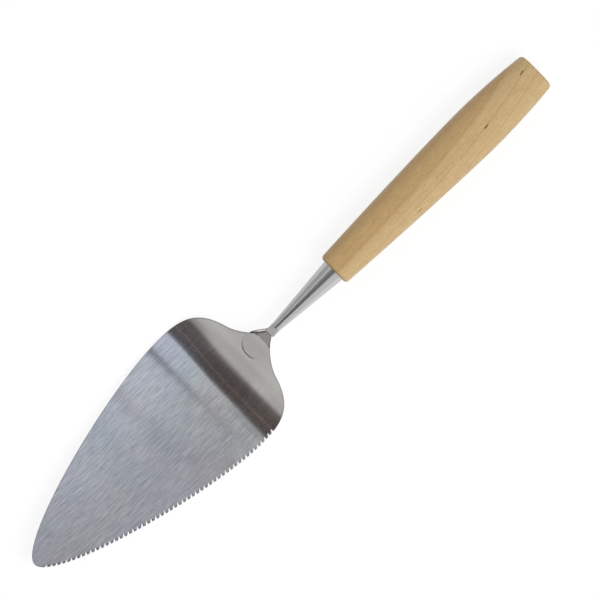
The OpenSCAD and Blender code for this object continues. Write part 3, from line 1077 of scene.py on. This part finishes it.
# Small dark flecks: place along and across, half-lengths, slope and share
SPOTS = (
    (0.1094, -0.0019, 0.0016, 0.00038, 0.08, 1.0),
    (0.1344, 0.0035, 0.0017, 0.00034, 0.2, 1.0),
    (0.0678, -0.0071, 0.0018, 0.0003, 0.05, 0.5),
)


def wood(name):
    """Oiled beech: two growth bands with darker lines, fine fibres, ray flecks and darker ends."""
    m = Nodes(name)
    place, x, y, z = m.object_place()
    start, run = row_x(HANDLE_X), HANDLE_LEN / 1000
    u = m.span(x, start, start + run, kind="LINEAR")

    def grain(along, across, detail, rough=0.5):
        """Noise drawn out along the wood, in waves per metre along and across it."""
        places = m.vector(m.times(x, along), m.times(y, across), m.times(z, across))
        return m.noise(places, 1.0, detail, rough)

    # Place across the growth bands, which curve towards the butt
    warp = m.times(m.less(grain(22.0, 70.0, 2.0), 0.5), 0.001)
    bend = m.plus(m.times(u, 0.0033), m.times(m.math("POWER", u, 3.0), 0.0082))
    level = m.less(m.plus(y, m.times(z, 0.3)), m.plus(bend, 0.0028))
    level = m.plus(level, warp)

    fibre = grain(210.0, 1500.0, 4.0, 0.62)
    bands = m.noise(m.vector(m.times(x, 10.0), m.times(level, 900.0), 0.0), 1.0, 3.0, 0.55)
    flecks = grain(520.0, 2600.0, 1.0)

    def line(centre, half):
        """1 along one growth line, 0 away from it."""
        return m.span(m.gap(level, centre), 0.0, half, 1.0, 0.0)

    def spot(cx, cy, rx, ry, slope, share):
        """A share in a small slanting ellipse on the upper side, 0 round it."""
        past = m.less(x, cx)
        dx = m.math("DIVIDE", past, rx)
        dy = m.math("DIVIDE", m.less(m.less(y, cy), m.times(past, slope)), ry)
        far = m.plus(m.times(dx, dx), m.times(dy, dy))
        above = m.span(z, AXIS_Z / 1000, (AXIS_Z + 3) / 1000)
        return m.times(m.span(far, 0.3, 1.0, 1.0, 0.0), above, share)

    # Share and level of each layer
    layers = (
        (m.times(line(0.0006, 0.0007), 0.4), (0.9, 0.86, 0.8)),
        (m.times(line(-0.005, 0.0006), m.span(u, 0.45, 0.8, 0.45, 0.95)), (0.88, 0.83, 0.74)),
        (m.times(line(-0.0103, 0.0007), 0.6), (0.89, 0.85, 0.77)),
        (m.span(bands, 0.38, 0.64, 0.0, 0.45), (0.93, 0.9, 0.86)),
        (m.span(fibre, 0.36, 0.64, 0.0, 0.65), (0.9, 0.86, 0.8)),
        (m.span(flecks, 0.6, 0.72, 0.0, 0.6), (0.78, 0.68, 0.56)),
        (m.span(m.noise(place, 190.0, 3.0), 0.35, 0.65, 0.0, 0.6), (0.94, 0.93, 0.92)),
        (m.span(m.noise(place, 1100.0), 0.38, 0.62, 0.0, 0.6), (0.93, 0.91, 0.87)),
    )
    colour = m.mix(m.span(level, -0.0006, 0.0006), PALE, TAN)
    for share, shade in layers:
        colour = m.tint(colour, share, shade)
    one, two, three = (spot(*s) for s in SPOTS)
    marks = m.math("MAXIMUM", m.math("MAXIMUM", one, two), three)
    colour = m.mix(m.times(marks, 0.9), colour, FLECK)
    ends = m.span(x, start + 0.0002, start + 0.0012, 1.0, 0.0)
    ends = m.plus(ends, m.span(x, start + run - 0.001, start + run, 0.0, 0.6))
    colour = m.mix(m.times(ends, 0.55), colour, END_GRAIN)

    height = m.plus(m.times(fibre, 0.7), m.times(flecks, -0.3))
    inputs = {
        "Base Color": colour,
        "Roughness": m.span(fibre, 0.3, 0.7, 0.42, 0.55),
        "IOR": 1.45,
        "Specular IOR Level": m.span(marks, 0.0, 1.0, 0.5, 0.05),
        "Coat Weight": 0.1,
        "Coat Roughness": 0.35,
        "Normal": m.bump(height, 0.3, 0.00005),
    }
    return m.finish(m.shader("BsdfPrincipled", inputs))


# Colours of the flat's toothed side and of its plain side with a painted reflection, roughness,
# anisotropy and streaks
BLADE_LOOK = ((0.69, 0.684, 0.68, 1), (0.82, 0.85, 0.895, 1), 0.25, 0.82, 0.95)
SHANK_LOOK = ((0.63, 0.625, 0.62, 1), (0.62, 0.63, 0.64, 1), 0.24, 0.3, 0.35)
WELD_DARK, WELD_PALE = (0.36, 0.36, 0.37, 1), (0.46, 0.46, 0.47, 1)
GLUE_DARK, GLUE_PALE = (0.42, 0.28, 0.11, 1), (0.55, 0.39, 0.17, 1)

blade_steel = steel("blade_steel", blade_marks, *BLADE_LOOK)
shank_steel = steel("shank_steel", shank_marks, *SHANK_LOOK)
weld_metal = lumpy("weld_metal", 1.0, (900.0, 3.0, 0.55), (0.35, 0.5), 0.0001, WELD_DARK, WELD_PALE)
glue = lumpy("glue", 0.0, (300.0, 3.0, 0.5), (0.25, 0.45), 0.0002, GLUE_DARK, GLUE_PALE)
beech = wood("beech")

for piece, node, slot, material in (
    (blade, "blade", "blade_steel", blade_steel),
    (shank, "shank", "shank_steel", shank_steel),
    (handle, "handle", "beech", beech),
):
    piece.data.materials.append(material)
    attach(piece, "root")
    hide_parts(node)
for node, material in (("spot_welds", weld_metal), ("handle_glue", glue)):
    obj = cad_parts[node]
    for i in range(len(obj.material_slots)):
        obj.material_slots[i].material = material

# ---------------- floor, light and camera

FLOOR_HALF, FLOOR_WHITE = 12.0, 0.86
FLOOR_GREY, SHADE_GREY = (0.8, 0.8, 0.8, 1), (0.16, 0.16, 0.16, 1)
TENT_R, TENT_RINGS, TENT_SIDES = 3.0, 16, 48
TENT_WARM, TENT_COOL, TENT_GAP = (1.02, 1.0, 0.97, 1), (0.955, 0.98, 1.05, 1), (1.1, 0.6, 0.59, 1)
TENT_LEVELS = ((-40.0, 10.0, 0.76, 0.64), (24.0, 32.0, 1.0, 1.2), (42.0, 54.0, 1.0, 0.6))
GAP_LEVEL = 0.06


def floor_material():
    """Pale floor, which all but diffuse rays see white with the object's shadow on it."""
    m = Nodes("floor")
    rays = m.add("LightPath").outputs
    seen = m.math("MAXIMUM", rays["Is Camera Ray"], rays["Is Glossy Ray"])
    seen = m.math("MAXIMUM", seen, rays["Is Transmission Ray"])
    real = m.shader("BsdfDiffuse", {"Color": FLOOR_GREY})
    shade = m.shader("BsdfDiffuse", {"Color": SHADE_GREY})
    white = m.shader("Emission", {"Color": (1, 1, 1, 1), "Strength": FLOOR_WHITE})
    both = m.shader("AddShader", {0: shade, 1: white})
    return m.finish(m.shader("MixShader", {0: seen, 1: real, 2: both}))


def tent_material():
    """A light tent, soft all round, with a dark gap above for the camera.

    Places in it are turns from straight above, in degrees.
    """
    m = Nodes("tent")
    _, x, y, z = m.object_place()
    back, side = (m.times(m.math("ARCTAN2", v, z), 180 / math.pi) for v in (x, y))
    gap = m.window(back, -41.0, -34.5, 3.2, 5.6)
    gap = m.times(gap, m.fade(m.math("ABSOLUTE", side), 28.0, 22.0))
    spans = [m.span(side, *span) for span in TENT_LEVELS]
    level = m.times(*spans, m.span(back, -25.0, 20.0, 1.03, 1.0))
    colour = m.mix(m.span(back, -30.0, 10.0), TENT_WARM, TENT_COOL)
    inputs = {
        "Color": m.mix(m.span(gap, 0.6, 1.0), colour, TENT_GAP),
        "Strength": m.times(level, m.span(gap, 0.0, 1.0, 1.0, GAP_LEVEL, "LINEAR")),
    }
    return m.finish(m.shader("Emission", inputs))


def add_surface(name, points, faces, material):
    mesh = bpy.data.meshes.new(name)
    mesh.from_pydata(points, [], faces)
    mesh.materials.append(material)
    return link(name, mesh)


def add_tent():
    n, points, faces = TENT_SIDES, [], []
    for i in range(TENT_RINGS):
        a = math.pi / 2 * i / TENT_RINGS
        r, z = TENT_R * math.cos(a), TENT_R * math.sin(a)
        for k in range(n):
            t = 2 * math.pi * k / n
            points.append((r * math.cos(t), r * math.sin(t), z))
    points.append((0, 0, TENT_R))
    last = (TENT_RINGS - 1) * n
    for i in range(0, last, n):
        for k in range(n):
            a, b = i + k, i + (k + 1) % n
            faces.append((a, a + n, b + n, b))
    for k in range(n):
        faces.append((last + k, len(points) - 1, last + (k + 1) % n))
    obj = add_surface("tent", points, faces, tent_material())
    obj.visible_camera = False
    return obj


corners = [(x * FLOOR_HALF, y * FLOOR_HALF, 0) for x, y in ((-1, -1), (1, -1), (1, 1), (-1, 1))]
floor = add_surface("floor", corners, [(0, 1, 2, 3)], floor_material())
tent = add_tent()

world = bpy.data.worlds.new("world")
bpy.context.scene.world = world
world.use_nodes = True
background = world.node_tree.nodes["Background"]
background.inputs["Color"].default_value = (1, 1, 1, 1)
background.inputs["Strength"].default_value = 1.0

key_data = bpy.data.lights.new("key", "AREA")
key_data.shape = "RECTANGLE"
key_data.size, key_data.size_y = 1.2, 1.0
key_data.energy = 21.5
key_data.color = (1.0, 0.985, 0.96)
key = link("key", key_data)
key.location = (0.2, -0.95, 1.95)
key.rotation_euler = (-key.location).to_track_quat("-Z", "Y").to_euler()
key.visible_camera = False
key.visible_glossy = False

# The camera looks straight down, and a pixel is MM_PER_PX wide at its aim
MM_PER_PX, PICTURE_PX, SENSOR, LENS = 0.3972, 600, 36.0, 300.0
AIM, TURN = (0.00887, 0.00096, 0.008), math.radians(-44.55)
DISTANCE = MM_PER_PX * PICTURE_PX / 1000 * LENS / SENSOR
camera_data = bpy.data.cameras.new("camera")
camera_data.sensor_width, camera_data.lens = SENSOR, LENS
camera_data.clip_start, camera_data.clip_end = 0.05, 60.0
camera = link("camera", camera_data)
camera.location = (AIM[0], AIM[1], DISTANCE + AIM[2])
camera.rotation_euler = (0, 0, TURN)
bpy.context.scene.camera = camera

bpy.context.scene.view_settings.view_transform = "Standard"
